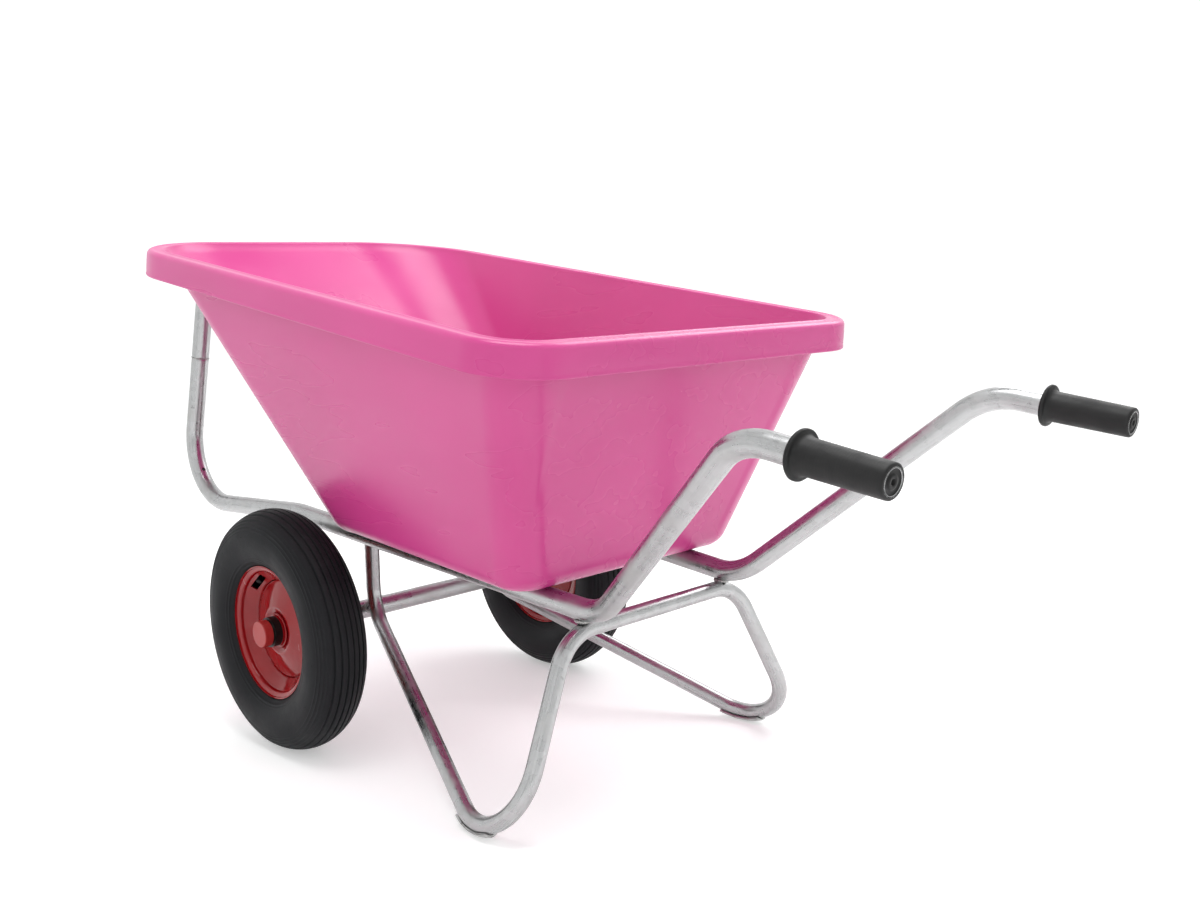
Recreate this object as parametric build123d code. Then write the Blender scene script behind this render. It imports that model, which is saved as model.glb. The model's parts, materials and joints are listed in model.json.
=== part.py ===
from build123d import *
import math
import os

# Twin wheel barrow, millimetres. +X is the barrow's right, +Y is forward and +Z is up.
# The origin is on the ground, under the middle of the overall length and width.
# Positions along Y below are measured from the axle, and are moved by AXLE_Y when used.
AXLE_Y = 321.1

# Wheels: x is measured outwards from the wheel's middle plane, r from the axle
WHEEL_R = 200.0
WHEEL_X = 293.0
TYRE_HALF_WIDTH = 47.0
TYRE_WIDEST_R = 153.0
TYRE_WALL = 7.0
CROWN_WALL = 10.0
BEAD_TOE = (17.0, 100.0)
BEAD_OUTSIDE = ((17.0, 103.2), (23.6, 103.2), (25.0, 110.9), (31.5, 112.2))
SIDEWALL_LOW = (43.5, 131.0)
SIDEWALL_HIGH = (42.6, 174.5)
SHOULDER = (31.0, 190.5)
BEAD_THROAT_R = 111.0
INSIDE_LOW = (34.5, 128.0)
INSIDE_HIGH = (27.0, 180.5)
CROWN_DROP = 0.0095
GROOVE_DEPTH = 3.0
GROOVE_WIDTH = 3.0
GROOVE_X = (-26.0, -15.5, -5.2, 5.2, 15.5, 26.0)
TUBE_MIDDLE_R = 147.5
TUBE_HALF_WIDTH = 37.0
TUBE_HALF_HEIGHT = 40.0
TUBE_WALL = 2.0
SHEET = 2.2
LIP = (31.0, 109.0)
FLANGE = (27.5, 108.3)
SEAT_OUTER = (25.5, 101.5)
SEAT_INNER = (19.5, 101.0)
WELL = (1.5, 83.0)
WELL_INNER = (-14.5, 83.0)
BARREL_BENDS = (1.6, 3.0, 2.6, 3.5)
OUTER_DISC = ((-5.9, 80.6), (0.6, 80.6), (13.5, 38.0), (9.0, 27.3), (2.0, 27.3))
OUTER_DISC_BENDS = (3.5, 6.0, 3.0)
INNER_DISC = ((-7.5, 80.6), (-14.0, 80.6), (-22.0, 27.3), (-41.0, 27.3))
INNER_DISC_BENDS = (3.5, 9.0)
HUB_R = 26.0
HUB_WALL = 2.2
HUB_ENDS = (-44.0, 17.0)
BUSH_LENGTH = 16.0
COLLAR_R = 24.6
COLLAR_LENGTH = 12.5
JOURNAL_R = 10.0
RUNNING_CLEARANCE = 0.05
PRESS_CLEARANCE = 0.05
SLOT_LENGTH = 44.0
SLOT_WIDTH = 12.0
SLOT_ROUND = 2.0
SLOT_CUT = 6.0
VALVE_ANGLE = {"left": 37.0, "right": 152.0}
STEM_LEAN = (0.56, -0.83)
STEM_R = 4.0
STEM_FOOT_R = 8.0
STEM_CAP_R = 4.6
STEM_CAP_LENGTH = 8.0
STEM_CAP_ROUND = 1.5
STEM_FOOT = 5.0
STEM_INSIDE = 17.0
STEM_OUTSIDE = -6.0
AIR_HOLE_R = 1.2

# Axle: x is measured from the barrow's middle
AXLE_TUBE_R = 16.0
AXLE_TUBE_WALL = 3.0
AXLE_TUBE_HALF = 245.0
STUB_IN_TUBE = 60.0
STUB_END = 336.5
WASHER_R = 17.0
SIDE_GAP = 0.3
OUTER_WASHER = 2.5
SPLIT_PIN_X = 327.7
SPLIT_PIN_R = 1.6
SPLIT_PIN_HALF = 15.0
SPLIT_PIN_EYE = (2.2, 0.9)
CAP_R = 21.5
CAP_WALL = 2.0
CAP_FACE = 339.5
CAP_MOUTH = 325.0
CAP_BOSS_R = 13.5
CAP_BOSS_DEPTH = 8.0
CAP_END_GAP = 0.2
CAP_ROUND = 1.5

# Main rails: corners of the right rail's centre line, x, y from the axle, z
RAIL_R = 16.0
RAIL_WALL = 2.0
GRIP_END = (275.5, -1143.5, 553.5)
UPPER_BEND = (269.0, -949.0, 583.5)
LOW_BEND = (147.0, -604.0, 298.0)
FLOOR_END_BEND = (182.0, 122.0, 364.5)
FRONT_BEND = (198.0, 515.0, 348.0)
HOOP_CORNER = (169.0, 419.0, 824.0)
HOOP_SEAM_Z = 629.0
RAIL_BEND_RADII = (98.0, 92.0, 320.0, 115.0)
HOOP_BEND_RADIUS = 60.0

# Leg tube: corners of its right half
LEG_R = 12.5
LEG_WALL = 2.0
LEG_TOP = (149.5, -52.5, 346.0)
LEG_AXLE = (129.0, -17.0, 201.0)
LEG_FOOT_XY = (334.0, -599.0)
LEG_CROSS = (179.0, -567.5, 272.5)
LEG_BEND_RADII = (56.0, 90.0, 80.0)
SKID_GAP = 1.0
SKID_PLATE = 3.0
SKID_FLAT = 0.6
SKID_SWEEP = 46.0
SKID_WRAP = 110.0
ROD_R = 3.4
ROD_LENGTH = 26.0
ROD_GAP = 0.3

# Tray
TRAY_WALL = 5.0
FLOOR_FRONT = -49.0
FLOOR_REAR = -523.0
FLOOR_HALF_FRONT = 236.0
FLOOR_HALF_REAR = 228.0
FLOOR_CORNERS = (66.0, 55.0)
FLOOR_ROUND = 38.0
FLOOR_GAP = 0.2
RIM_ROUND = 9.0
RIM_FRONT = 443.6
RIM_REAR = -695.8
RIM_HALF_FRONT = 345.4
RIM_HALF_REAR = 370.9
RIM_CORNERS = (200.0, 95.0)
RIM_TOP_FRONT = 850.0
RIM_TOP_REAR = 678.3
RIM_WIDTH = 28.0
SKIRT_DEPTH = 44.0
SKIRT_DRAFT = 3.0

# Tray screws, through the floor and into the top wall of a rail
SCREW_Y = (-430.0, -130.0)
SCREW_R = 4.0
SCREW_HOLE_R = 4.3
SCREW_IN_RAIL = 14.0
SCREW_HEAD_R = 10.0
SCREW_HEAD = 4.5
SCREW_WASHER_R = 14.0
SCREW_WASHER = 1.6
HOLE_SPARE = 3.0

# Grips
GRIP_LENGTH = 114.0
GRIP_R = 20.5
GRIP_END_R = 19.5
GRIP_FLANGE_R = 28.0
GRIP_FLANGE = 6.0
GRIP_END_WALL = 5.0
GRIP_SHOULDER = (2.0, 6.0)
GRIP_FLANGE_ROUND = 2.4
GRIP_RING_R = (8.0, 14.0)
GRIP_RING_DEPTH = 1.5
GRIP_EYE_R = 3.5


def at(x, y, z):
    """A point given with y from the axle, in the barrow's own frame."""
    return Vector(x, AXLE_Y + y, z)


def bent_path(points, radii):
    """Straight runs through the points, joined by tangent arcs at the inner ones."""
    edges = []
    start = points[0]
    for before, corner, after, radius in zip(points, points[1:], points[2:], radii):
        back = (before - corner).normalized()
        ahead = (after - corner).normalized()
        half_turn = math.radians(180 - back.get_angle(ahead)) / 2
        reach = radius * math.tan(half_turn)
        inset = radius * (1 / math.cos(half_turn) - 1)
        first = corner + back * reach
        last = corner + ahead * reach
        middle = corner + (back + ahead).normalized() * inset
        edges.append(Edge.make_line(start, first))
        edges.append(Edge.make_three_point_arc(first, middle, last))
        start = last
    edges.append(Edge.make_line(start, points[-1]))
    return Wire(edges)


def tube(path, radius, wall):
    """A round tube along a path, or a solid bar if wall is 0."""
    start = Plane(origin=path @ 0, z_dir=path % 0)
    section = Circle(radius)
    if wall:
        section -= Circle(radius - wall)
    return sweep(start * section, path=path)


def mirrored(shape):
    return mirror(shape, about=Plane.YZ)


def opposite(point):
    """The same point on the barrow's other side."""
    return Vector(-point.X, point.Y, point.Z)


def write(name, *solids):
    shape = Compound(children=[s for part in solids for s in part.solids()])
    shape.label = name
    export_step(shape, f"parts/{name}.step")


# ---- frame tubes -------------------------------------------------------------


def seam_point():
    """Where the front hoop meets the rail's upright."""
    low = at(*FRONT_BEND)
    high = at(*HOOP_CORNER)
    return low + (high - low) * ((HOOP_SEAM_Z - low.Z) / (high.Z - low.Z))


def rail():
    """The right rail, from inside its grip to the seam on the front upright."""
    grip_end = at(*GRIP_END)
    inside = grip_end + (at(*UPPER_BEND) - grip_end).normalized() * (GRIP_END_WALL + 2)
    corners = [UPPER_BEND, LOW_BEND, FLOOR_END_BEND, FRONT_BEND]
    points = [inside] + [at(*c) for c in corners] + [seam_point()]
    return tube(bent_path(points, RAIL_BEND_RADII), RAIL_R, RAIL_WALL)


def front_hoop():
    right = seam_point()
    corner = at(*HOOP_CORNER)
    points = [right, corner, opposite(corner), opposite(right)]
    return tube(bent_path(points, [HOOP_BEND_RADIUS] * 2), RAIL_R, RAIL_WALL)


def foot_arc(foot_z):
    """Centre, plane normal and lowest point of the bend at the right foot."""
    ahead = (at(*LEG_AXLE) - at(*LEG_FOOT_XY, foot_z)).normalized()
    behind = (at(*LEG_CROSS) - at(*LEG_FOOT_XY, foot_z)).normalized()
    half = math.radians(ahead.get_angle(behind)) / 2
    radius = LEG_BEND_RADII[1]
    inward = (ahead + behind).normalized()
    centre = at(*LEG_FOOT_XY, foot_z) + inward * (radius / math.sin(half))
    normal = ahead.cross(behind).normalized()
    down = Vector(0, 0, -1)
    in_plane = (down - normal * down.dot(normal)).normalized()
    return centre, normal, centre + in_plane * radius


def foot_height():
    """Height of the foot's corner that leaves the skid's worn flat on the ground."""
    wanted = LEG_R + SKID_GAP + SKID_PLATE - SKID_FLAT
    foot_z = 0.0
    for _ in range(12):
        foot_z += wanted - foot_arc(foot_z)[2].Z
    return foot_z


FOOT_Z = foot_height()


def leg_tube(rails):
    """One tube: rail, axle, foot, under both rails, other foot, axle and rail."""
    half = [at(*LEG_TOP), at(*LEG_AXLE), at(*LEG_FOOT_XY, FOOT_Z), at(*LEG_CROSS)]
    other = [opposite(point) for point in reversed(half)]
    radii = LEG_BEND_RADII + tuple(reversed(LEG_BEND_RADII))
    legs = tube(bent_path(half + other, radii), LEG_R, LEG_WALL)
    for one in rails:
        legs -= one
    return max(legs.solids(), key=lambda s: s.volume)


def foot_skid():
    """A pressed shoe under the foot's bend, worn flat where it meets the ground."""
    centre, normal, lowest = foot_arc(FOOT_Z)
    radial = (lowest - centre).normalized()
    tilt = -math.degrees(math.asin(normal.Z))
    inner = LEG_R + SKID_GAP
    section_plane = Plane(origin=lowest, x_dir=radial, z_dir=radial.cross(normal))
    ring = Circle(inner + SKID_PLATE) - Circle(inner)
    reach = 2 * inner
    spread = reach * math.tan(math.radians(SKID_WRAP / 2))
    wedge = Polygon((0, 0), (reach, -spread), (reach, spread), align=None)
    sector = Rot(0, 0, tilt) * (ring & wedge)
    about = Axis(centre, normal)
    shoe = revolve(section_plane * sector, axis=about, revolution_arc=SKID_SWEEP)
    shoe = shoe.rotate(about, -SKID_SWEEP / 2)
    return split(shoe, bisect_by=Plane.XY, keep=Keep.TOP)


def crossing_rods():
    """Short rods welded in the crotch between the right rail and the cross tube."""
    low = at(*LOW_BEND)
    ahead = (at(*FLOOR_END_BEND) - low).normalized()
    crossing = low + ahead * ((AXLE_Y + LEG_CROSS[1] - low.Y) / ahead.Y)
    height = LEG_CROSS[2] + LEG_R + ROD_R + PRESS_CLEARANCE
    reach = RAIL_R + ROD_R + PRESS_CLEARANCE
    offset = math.sqrt(reach**2 - (crossing.Z - height) ** 2) + ROD_GAP
    rods = []
    for side in (-1, 1):
        middle = Vector(crossing.X + side * offset, crossing.Y, height)
        rod = Plane(origin=middle, z_dir=(0, 1, 0)) * Cylinder(ROD_R, ROD_LENGTH)
        rods.append(rod)
    return rods


def axle_tube():
    ring = Plane.YZ * (Circle(AXLE_TUBE_R) - Circle(AXLE_TUBE_R - AXLE_TUBE_WALL))
    return Pos(0, AXLE_Y, WHEEL_R) * extrude(ring, AXLE_TUBE_HALF, both=True)


# ---- tray --------------------------------------------------------------------


def sloping_plane(y_rear, z_rear, y_front, z_front):
    """A plane through two heights, level across, with its y running forward."""
    rear = at(0, y_rear, z_rear)
    forward = (at(0, y_front, z_front) - rear).normalized()
    return Plane(origin=rear, x_dir=(1, 0, 0), z_dir=Vector(1, 0, 0).cross(forward))


FLOOR_RISE = (FLOOR_END_BEND[2] - LOW_BEND[2]) / (FLOOR_END_BEND[1] - LOW_BEND[1])


def floor_height(y):
    """Underside of the tray's floor, resting on the two rails."""
    above = (RAIL_R + FLOOR_GAP) * math.hypot(1, FLOOR_RISE)
    return LOW_BEND[2] + FLOOR_RISE * (y - LOW_BEND[1]) + above


FLOOR_Z_REAR = floor_height(FLOOR_REAR)
FLOOR_Z_FRONT = floor_height(FLOOR_FRONT)
FLOOR_PLANE = sloping_plane(FLOOR_REAR, FLOOR_Z_REAR, FLOOR_FRONT, FLOOR_Z_FRONT)
FLOOR_LENGTH = math.hypot(FLOOR_FRONT - FLOOR_REAR, FLOOR_Z_FRONT - FLOOR_Z_REAR)
RIM_PLANE = sloping_plane(RIM_REAR, RIM_TOP_REAR, RIM_FRONT, RIM_TOP_FRONT)
RIM_LENGTH = math.hypot(RIM_FRONT - RIM_REAR, RIM_TOP_FRONT - RIM_TOP_REAR)


def outline(plane, length, half_front, half_rear, corners, inset, lift):
    """A round-cornered trapezium on a sloping plane, moved in by inset and up by lift."""
    front_r = corners[0] - inset
    rear_r = corners[1] - inset
    points = [
        (-half_rear + inset, inset),
        (half_rear - inset, inset),
        (half_front - inset, length - inset),
        (-half_front + inset, length - inset),
    ]
    line = FilletPolyline(*points, radius=[rear_r, rear_r, front_r, front_r], close=True)
    return plane.offset(lift) * make_face(line)


def floor_outline(inset, lift):
    size = (FLOOR_LENGTH, FLOOR_HALF_FRONT, FLOOR_HALF_REAR, FLOOR_CORNERS)
    return outline(FLOOR_PLANE, *size, inset, lift)


def rim_outline(inset, lift):
    size = (RIM_LENGTH, RIM_HALF_FRONT, RIM_HALF_REAR, RIM_CORNERS)
    return outline(RIM_PLANE, *size, inset, lift)


def tub(inset, lift, top_lift, round_radius):
    """The tray's body as a solid block, with its floor's edge rounded."""
    low = floor_outline(inset, lift)
    high = rim_outline(RIM_WIDTH + inset, top_lift)
    block = loft([low, high], ruled=True)
    floor = block.faces().sort_by(Axis.Z)[0]
    return fillet(floor.edges(), round_radius)


def tray():
    """The moulded tub with its turned-down rim."""
    body = tub(0, 0, 0, FLOOR_ROUND)
    cavity = tub(TRAY_WALL, TRAY_WALL, 1, FLOOR_ROUND - TRAY_WALL)
    rim = loft([rim_outline(0, -SKIRT_DEPTH), rim_outline(SKIRT_DRAFT, 0)], ruled=True)
    top = rim.faces().sort_by(Axis.Z)[-1]
    rim = fillet(top.edges(), RIM_ROUND)
    mouth = rim_outline(TRAY_WALL, -SKIRT_DEPTH - 1)
    roof = rim_outline(TRAY_WALL + SKIRT_DRAFT, -TRAY_WALL)
    return rim - loft([mouth, roof], ruled=True) + body - cavity


# ---- tray fastenings ----------------------------------------------------------


def screw_planes():
    """Planes on the tray's floor underside, above the middle of each rail, facing up."""
    low = at(*LOW_BEND)
    run = at(*FLOOR_END_BEND) - low
    planes = []
    for y in SCREW_Y:
        centre = low + run * ((AXLE_Y + y - low.Y) / run.Y)
        for side in (-1, 1):
            middle = Vector(side * centre.X, centre.Y, centre.Z)
            top = middle + FLOOR_PLANE.z_dir * (RAIL_R + FLOOR_GAP)
            planes.append(Plane(origin=top, x_dir=(1, 0, 0), z_dir=FLOOR_PLANE.z_dir))
    return planes


def stack(low, high, radius, bore=0.0):
    """A disc or ring between two heights above the local plane."""
    ring = Circle(radius)
    if bore:
        ring -= Circle(bore)
    return Pos(0, 0, low) * extrude(ring, high - low)


def screw_hole():
    """A cutter from inside the rail, through its top wall and the tray's floor."""
    return stack(-FLOOR_GAP - RAIL_WALL - HOLE_SPARE, TRAY_WALL + HOLE_SPARE, SCREW_HOLE_R)


def tray_screw():
    """A domed head on the washer, and a shank that ends inside the rail."""
    seat = TRAY_WALL + SCREW_WASHER
    ball_r = (SCREW_HEAD_R**2 + SCREW_HEAD**2) / (2 * SCREW_HEAD)
    dome = Pos(0, 0, seat + SCREW_HEAD - ball_r) * Sphere(ball_r)
    head = dome & stack(seat, seat + SCREW_HEAD + 1, SCREW_HEAD_R)
    return head + stack(-SCREW_IN_RAIL, seat, SCREW_R)


def tray_washer():
    return stack(TRAY_WALL, TRAY_WALL + SCREW_WASHER, SCREW_WASHER_R, SCREW_HOLE_R)


# ---- grips -------------------------------------------------------------------


def grip():
    """The right grip: a collar, a slightly tapering sleeve and a closed, ringed end."""
    end = at(*GRIP_END)
    start = end + (at(*UPPER_BEND) - end).normalized() * GRIP_LENGTH
    wider, longer = GRIP_SHOULDER
    sleeve = Polyline(
        (0, 0),
        (GRIP_FLANGE_R, 0),
        (GRIP_FLANGE_R, GRIP_FLANGE),
        (GRIP_R + wider, GRIP_FLANGE),
        (GRIP_R, GRIP_FLANGE + longer),
        (GRIP_END_R, GRIP_LENGTH),
        (0, GRIP_LENGTH),
        close=True,
    )
    body = revolve(Plane.XZ * make_face(sleeve), axis=Axis.Z)
    collar = body.edges().filter_by(GeomType.CIRCLE).sort_by(SortBy.RADIUS)[-2:]
    body = fillet(collar, GRIP_FLANGE_ROUND)
    body -= stack(-1, GRIP_LENGTH - GRIP_END_WALL, RAIL_R + PRESS_CLEARANCE)
    body -= stack(0, GRIP_LENGTH + 1, GRIP_EYE_R)
    groove_bottom = GRIP_LENGTH - GRIP_RING_DEPTH
    body -= stack(groove_bottom, GRIP_LENGTH + 1, GRIP_RING_R[1], GRIP_RING_R[0])
    return Plane(origin=start, z_dir=end - start) * body


# ---- wheels: built about the X axis, outer side towards +X ---------------------


def turned(face):
    """A face drawn with x along the axle and y outwards from it, turned about the axle."""
    return revolve(face, axis=Axis.X)


def sheet(points, radii):
    """Pressed sheet whose middle line passes the points, with a bend radius at each corner."""
    return turned(trace(FilletPolyline(*points, radius=radii), line_width=SHEET))


def ring_block(low_x, high_x, radius, bore=0.0):
    ring = Circle(radius)
    if bore:
        ring -= Circle(bore)
    return Pos(low_x, 0, 0) * extrude(Plane.YZ * ring, high_x - low_x)


def flipped(point):
    """The same point of a section on the wheel's other side."""
    return (-point[0], point[1])


def tyre():
    """The tyre's section, turned, with straight grooves round its tread."""
    widest = (TYRE_HALF_WIDTH, TYRE_WIDEST_R)
    flank = BEAD_OUTSIDE[-1]
    outer = [
        Polyline(*BEAD_OUTSIDE),
        ThreePointArc(flank, SIDEWALL_LOW, widest),
        ThreePointArc(widest, SIDEWALL_HIGH, SHOULDER),
        ThreePointArc(SHOULDER, (0, WHEEL_R), flipped(SHOULDER)),
        ThreePointArc(flipped(SHOULDER), flipped(SIDEWALL_HIGH), flipped(widest)),
        ThreePointArc(flipped(widest), flipped(SIDEWALL_LOW), flipped(flank)),
        Polyline(*[flipped(point) for point in reversed(BEAD_OUTSIDE)]),
        Line(flipped(BEAD_OUTSIDE[0]), BEAD_OUTSIDE[0]),
    ]
    wide = (TYRE_HALF_WIDTH - TYRE_WALL, TYRE_WIDEST_R)
    throat = (BEAD_TOE[0], BEAD_THROAT_R)
    crown = (0, WHEEL_R - CROWN_WALL)
    inner = [
        Line(BEAD_TOE, throat),
        ThreePointArc(throat, INSIDE_LOW, wide),
        ThreePointArc(wide, INSIDE_HIGH, crown),
        ThreePointArc(crown, flipped(INSIDE_HIGH), flipped(wide)),
        ThreePointArc(flipped(wide), flipped(INSIDE_LOW), flipped(throat)),
        Line(flipped(throat), flipped(BEAD_TOE)),
        Line(flipped(BEAD_TOE), BEAD_TOE),
    ]
    body = turned(make_face(outer) - make_face(inner))
    half = GROOVE_WIDTH / 2
    for x in GROOVE_X:
        bottom = WHEEL_R - CROWN_DROP * x**2 - GROOVE_DEPTH
        body -= ring_block(x - half, x + half, WHEEL_R + 1, bottom)
    return body


def stem_plane():
    """On the valve's axis, at the middle of its slot, facing the way the air comes in."""
    middle = ((SEAT_INNER[0] + WELL[0]) / 2, (SEAT_INNER[1] + WELL[1]) / 2)
    return Plane(
        origin=(middle[0], 0, middle[1]),
        x_dir=(0, 1, 0),
        z_dir=(STEM_LEAN[0], 0, STEM_LEAN[1]),
    )


def tube_block(inset):
    section = Ellipse(TUBE_HALF_WIDTH - inset, TUBE_HALF_HEIGHT - inset)
    return turned(Pos(0, TUBE_MIDDLE_R) * section)


def inner_tube():
    air_hole = stem_plane() * stack(-2 * STEM_INSIDE, 0, AIR_HOLE_R)
    return tube_block(0) - tube_block(TUBE_WALL) - air_hole


def rim_barrel():
    """The rolled rim with its drop centre, and the slot that the valve comes out of."""
    flange = [LIP, FLANGE, SEAT_OUTER, SEAT_INNER]
    points = flange + [WELL, WELL_INNER] + [flipped(point) for point in reversed(flange)]
    radii = BARREL_BENDS + tuple(reversed(BARREL_BENDS))
    slope = Vector(SEAT_INNER[0] - WELL[0], 0, SEAT_INNER[1] - WELL[1])
    middle = stem_plane().origin
    across = Plane(origin=middle, x_dir=(0, 1, 0), z_dir=slope.cross(Vector(0, 1, 0)))
    outline_of_slot = RectangleRounded(SLOT_LENGTH, SLOT_WIDTH, SLOT_ROUND)
    slot = across * extrude(outline_of_slot, SLOT_CUT, both=True)
    return sheet(points, radii) - slot


def bush(low_x):
    high_x = low_x + BUSH_LENGTH
    bore = JOURNAL_R + RUNNING_CLEARANCE
    return ring_block(low_x, high_x, HUB_R - HUB_WALL - PRESS_CLEARANCE, bore)


def collared_bush(mouth_x):
    """A bush inside the hub's outer end, with a deep collar outside the mouth."""
    bore = JOURNAL_R + RUNNING_CLEARANCE
    collar = ring_block(mouth_x, mouth_x + COLLAR_LENGTH, COLLAR_R, bore)
    return bush(mouth_x - BUSH_LENGTH) + collar


def valve_stem():
    """A hollow stem with a flared foot that is cured onto the inner tube."""
    foot = Pos(0, 0, -STEM_INSIDE) * Cone(STEM_FOOT_R, STEM_R, STEM_FOOT)
    stem = stack(-STEM_INSIDE, STEM_OUTSIDE, STEM_R)
    air_way = stack(-2 * STEM_INSIDE, STEM_OUTSIDE + 1, AIR_HOLE_R)
    return stem_plane() * (foot + stem - air_way) - tube_block(0)


def valve_cap():
    start = STEM_OUTSIDE + PRESS_CLEARANCE
    cap = stack(start, start + STEM_CAP_LENGTH, STEM_CAP_R)
    return stem_plane() * fillet(cap.edges().group_by(Axis.Z)[-1], STEM_CAP_ROUND)


def wheel_pieces():
    inner_end, outer_end = HUB_ENDS
    return {
        "tyre": tyre(),
        "inner_tube": inner_tube(),
        "rim_barrel": rim_barrel(),
        "outer_disc": sheet(OUTER_DISC, OUTER_DISC_BENDS),
        "inner_disc": sheet(INNER_DISC, INNER_DISC_BENDS),
        "hub_tube": ring_block(inner_end, outer_end, HUB_R, HUB_R - HUB_WALL),
        "outer_bush": collared_bush(outer_end),
        "inner_bush": bush(inner_end),
        "valve_stem": valve_stem(),
        "valve_cap": valve_cap(),
    }


# ---- what holds the wheels on: x from the barrow's middle, right side ----------


def stub_axle():
    """A shank inside the cross tube's end, and the journal that the wheel turns on."""
    shank_r = AXLE_TUBE_R - AXLE_TUBE_WALL - PRESS_CLEARANCE
    shank = ring_block(AXLE_TUBE_HALF - STUB_IN_TUBE, AXLE_TUBE_HALF, shank_r)
    journal = ring_block(AXLE_TUBE_HALF, STUB_END, JOURNAL_R)
    pin_hole_r = SPLIT_PIN_R + 4 * PRESS_CLEARANCE
    return shank + journal - Pos(SPLIT_PIN_X, 0, 0) * Cylinder(pin_hole_r, 4 * JOURNAL_R)


def wheel_washers():
    """A thrust washer each side of the hub, clear of it so that the wheel turns freely."""
    bore = JOURNAL_R + PRESS_CLEARANCE
    inner_end = WHEEL_X + HUB_ENDS[0] - SIDE_GAP
    outer_face = WHEEL_X + HUB_ENDS[1] + COLLAR_LENGTH + SIDE_GAP
    inner = ring_block(AXLE_TUBE_HALF + PRESS_CLEARANCE, inner_end, WASHER_R, bore)
    outer = ring_block(outer_face, outer_face + OUTER_WASHER, WASHER_R, bore)
    return [inner, outer]


def split_pin():
    """A straight pair of legs through the stub axle, with a round eye on top."""
    legs = Cylinder(SPLIT_PIN_R, 2 * SPLIT_PIN_HALF)
    eye = Pos(0, 0, SPLIT_PIN_HALF) * Rot(0, 90, 0) * Torus(*SPLIT_PIN_EYE)
    return Pos(SPLIT_PIN_X, 0, 0) * (legs + eye)


def axle_cap():
    """A push-on cap: a cup over the split pin, with a boss that grips the axle's end."""
    inside = CAP_FACE - CAP_WALL
    boss_start = inside - CAP_BOSS_DEPTH
    cup = ring_block(CAP_MOUTH, CAP_FACE, CAP_R)
    cup -= ring_block(CAP_MOUTH - 1, inside, CAP_R - CAP_WALL)
    cup += ring_block(boss_start, inside, CAP_BOSS_R)
    cup -= ring_block(boss_start - 1, STUB_END + CAP_END_GAP, JOURNAL_R + PRESS_CLEARANCE)
    face = cup.faces().sort_by(Axis.X)[-1]
    return fillet(face.edges(), CAP_ROUND)


def on_axle(piece, side, x=0.0):
    """Moves a piece built on the right side, about the X axis, to its place on the axle."""
    placed = Pos(x, AXLE_Y, WHEEL_R) * piece
    return placed if side == "right" else mirrored(placed)


if __name__ == "__main__":
    os.makedirs("parts", exist_ok=True)
    planes = screw_planes()
    holes = [plane * screw_hole() for plane in planes]

    right_rail = rail()
    rails = {"right": right_rail, "left": mirrored(right_rail)}
    for side, one in rails.items():
        for hole in holes:
            one -= hole
        write(f"{side}_rail", one)
    write("front_hoop", front_hoop())
    write("leg_tube", leg_tube(rails.values()))
    rods = crossing_rods()
    write("crossing_rods", *rods, *[mirrored(rod) for rod in rods])
    write("axle_tube", axle_tube())

    tub_with_holes = tray()
    for hole in holes:
        tub_with_holes -= hole
    write("tray", tub_with_holes)
    write("tray_screws", *[plane * tray_screw() for plane in planes])
    write("tray_washers", *[plane * tray_washer() for plane in planes])

    both_sides = {"foot_skid": foot_skid(), "grip": grip()}
    for name, piece in both_sides.items():
        write(f"right_{name}", piece)
        write(f"left_{name}", mirrored(piece))

    wheel = wheel_pieces()
    for side in ("left", "right"):
        for name, piece in wheel.items():
            turned_piece = Rot(-VALVE_ANGLE[side], 0, 0) * piece
            write(f"{side}_{name}", on_axle(turned_piece, side, WHEEL_X))
        write(f"{side}_stub_axle", on_axle(stub_axle(), side))
        write(f"{side}_axle_cap", on_axle(axle_cap(), side))
    sides = ("left", "right")
    write("wheel_washers", *[on_axle(ring, side) for side in sides for ring in wheel_washers()])
    write("split_pins", *[on_axle(split_pin(), side) for side in sides])
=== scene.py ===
import json
import math

import bpy
import numpy as np
from mathutils import Matrix, Vector


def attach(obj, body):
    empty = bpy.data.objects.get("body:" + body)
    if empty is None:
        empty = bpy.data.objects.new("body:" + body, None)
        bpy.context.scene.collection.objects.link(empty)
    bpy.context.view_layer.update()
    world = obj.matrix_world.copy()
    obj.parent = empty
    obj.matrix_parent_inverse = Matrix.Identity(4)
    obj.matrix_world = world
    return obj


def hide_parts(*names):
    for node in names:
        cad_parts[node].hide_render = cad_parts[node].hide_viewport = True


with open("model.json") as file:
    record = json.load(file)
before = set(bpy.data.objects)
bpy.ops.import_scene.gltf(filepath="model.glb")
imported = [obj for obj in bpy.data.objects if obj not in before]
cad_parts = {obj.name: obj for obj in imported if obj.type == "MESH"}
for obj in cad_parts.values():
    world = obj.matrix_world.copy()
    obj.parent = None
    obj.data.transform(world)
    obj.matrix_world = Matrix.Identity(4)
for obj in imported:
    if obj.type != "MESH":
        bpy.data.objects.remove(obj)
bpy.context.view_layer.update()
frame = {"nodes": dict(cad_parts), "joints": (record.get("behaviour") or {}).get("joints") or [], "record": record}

# The wheel's hinge gives the axle's place. Lengths below are in millimetres, with y from the axle.
AXLE_Y, AXLE_Z = frame["joints"][0]["pos_m"][1:]
WHEEL_X = abs(frame["joints"][0]["pos_m"][0])
MM = 0.001


def in_frame(points):
    """Millimetres with y counted from the axle, turned into the frame's metres."""
    return np.asarray(points, float) * MM + (0.0, AXLE_Y, 0.0)


# ---- making meshes ------------------------------------------------------------


def signed_volume(vertices, quads):
    """A sixth of the sum of each face's two triangle triple products."""
    a, b, c, d = (vertices[quads[:, k]] for k in range(4))
    first = np.einsum("ij,ij->i", a, np.cross(b, c))
    second = np.einsum("ij,ij->i", a, np.cross(c, d))
    return (first + second).sum() / 6


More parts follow.
